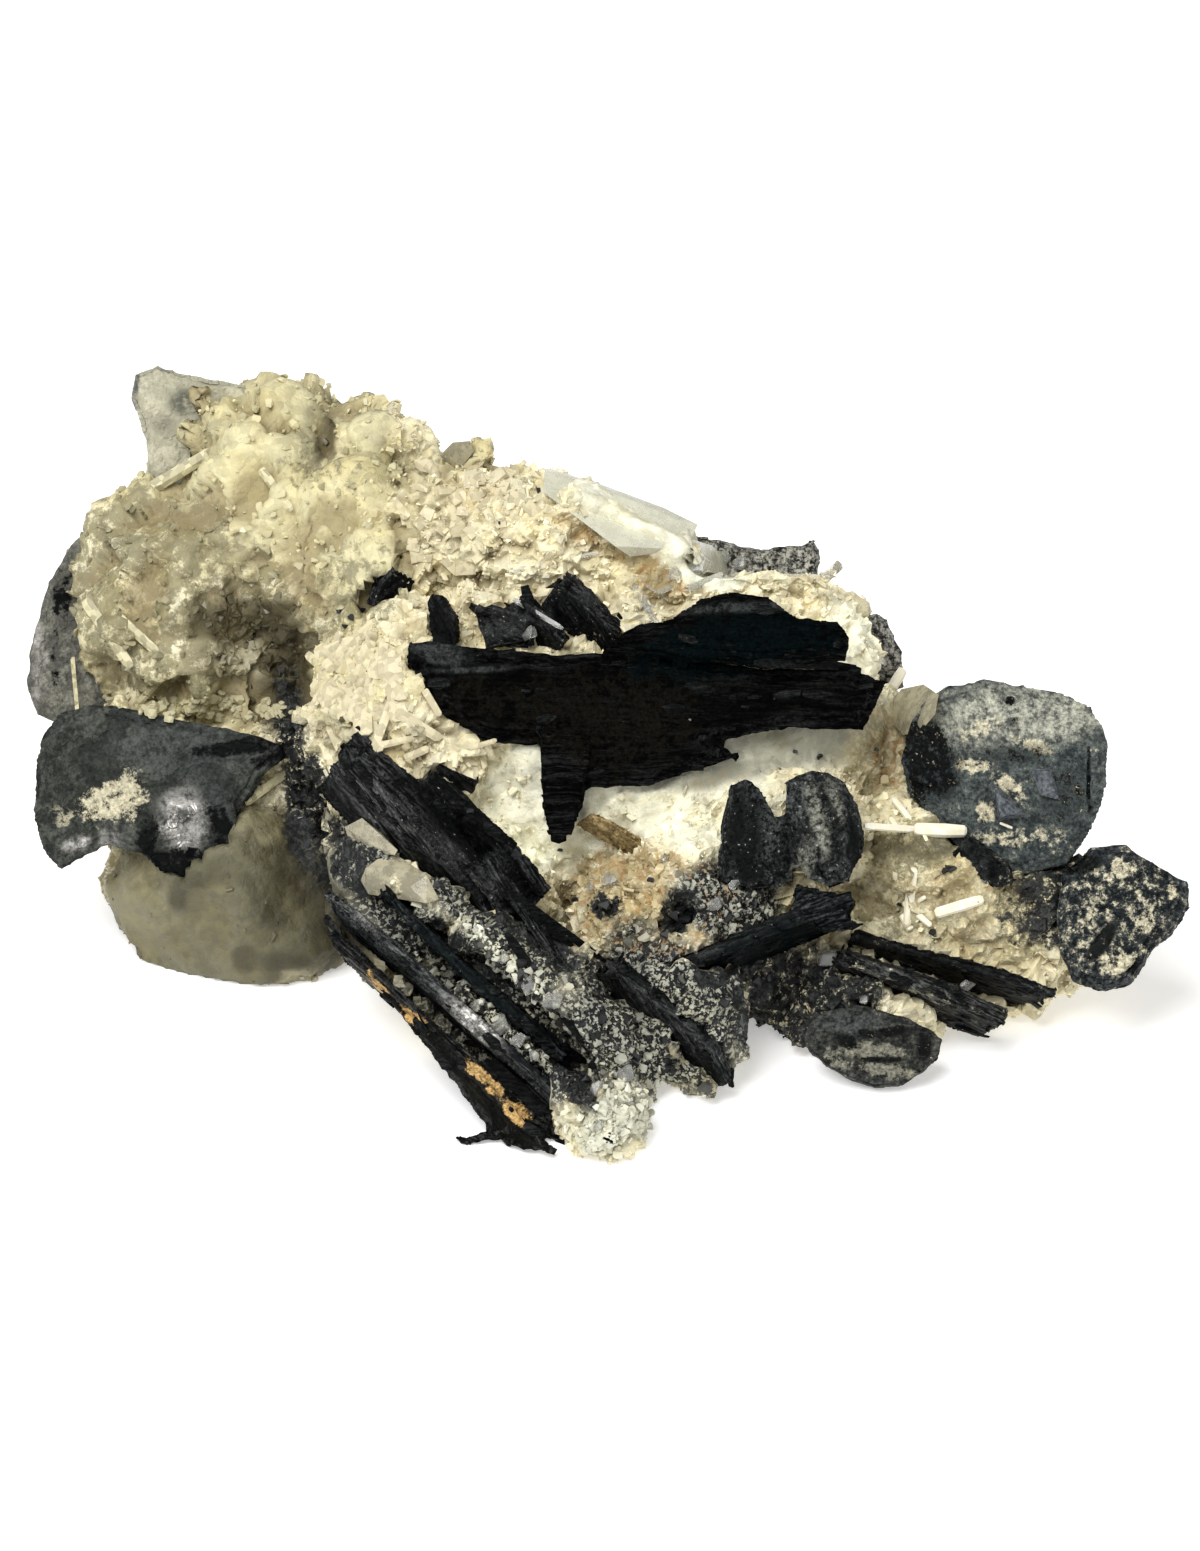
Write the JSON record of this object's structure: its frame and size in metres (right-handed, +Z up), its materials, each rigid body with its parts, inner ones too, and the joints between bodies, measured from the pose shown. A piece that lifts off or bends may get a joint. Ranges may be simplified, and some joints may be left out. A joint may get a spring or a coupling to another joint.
{
  "type": "raw hematite crystal specimen",
  "caption": "Rough mineral specimen: black and blue-grey hematite blades and round plates grown through a pale, sugary matrix with clear laths, resting on a flat broken base.",
  "frame": {"origin": "on the surface it rests on, under the middle of its box", "axes": "+X to the right across the showy face, +Y towards the back, +Z up; the showy face looks along -Y and leans back"},
  "size_m": [0.074, 0.0498, 0.032],
  "materials": {
    "matrix": "sugary cream and white crystals with tan, sandy and grey patches",
    "black_hematite": "near-black, layered and striated, with a soft metallic sheen on its edges",
    "dusty_hematite": "blue-grey and black, dusted and speckled with cream"
  },
  "bodies": {
    "root": {"matrix": "matrix", "main_blade": "black_hematite", "small_blade": "black_hematite", "upper_blades": "black_hematite", "left_blade": "black_hematite", "second_blade": "black_hematite", "grey_blade": "dusty_hematite", "outer_blade": "black_hematite", "ridge_blade": "dusty_hematite", "cross_blade": "black_hematite", "round_plates": "dusty_hematite", "right_plate": "dusty_hematite", "right_lobe": "dusty_hematite", "upper_stack_blade": "black_hematite", "lower_stack_blade": "black_hematite", "lower_right_plate": "dusty_hematite", "left_plate": "dusty_hematite", "left_edge_plate": "dusty_hematite", "top_left_plate": "dusty_hematite", "back_top_plate": "dusty_hematite", "tan_sliver": "dusty_hematite", "bed_sliver": "black_hematite", "dark_knob": "black_hematite", "slab_rod": "black_hematite", "right_sliver": "dusty_hematite"}
  },
  "joints": []
}
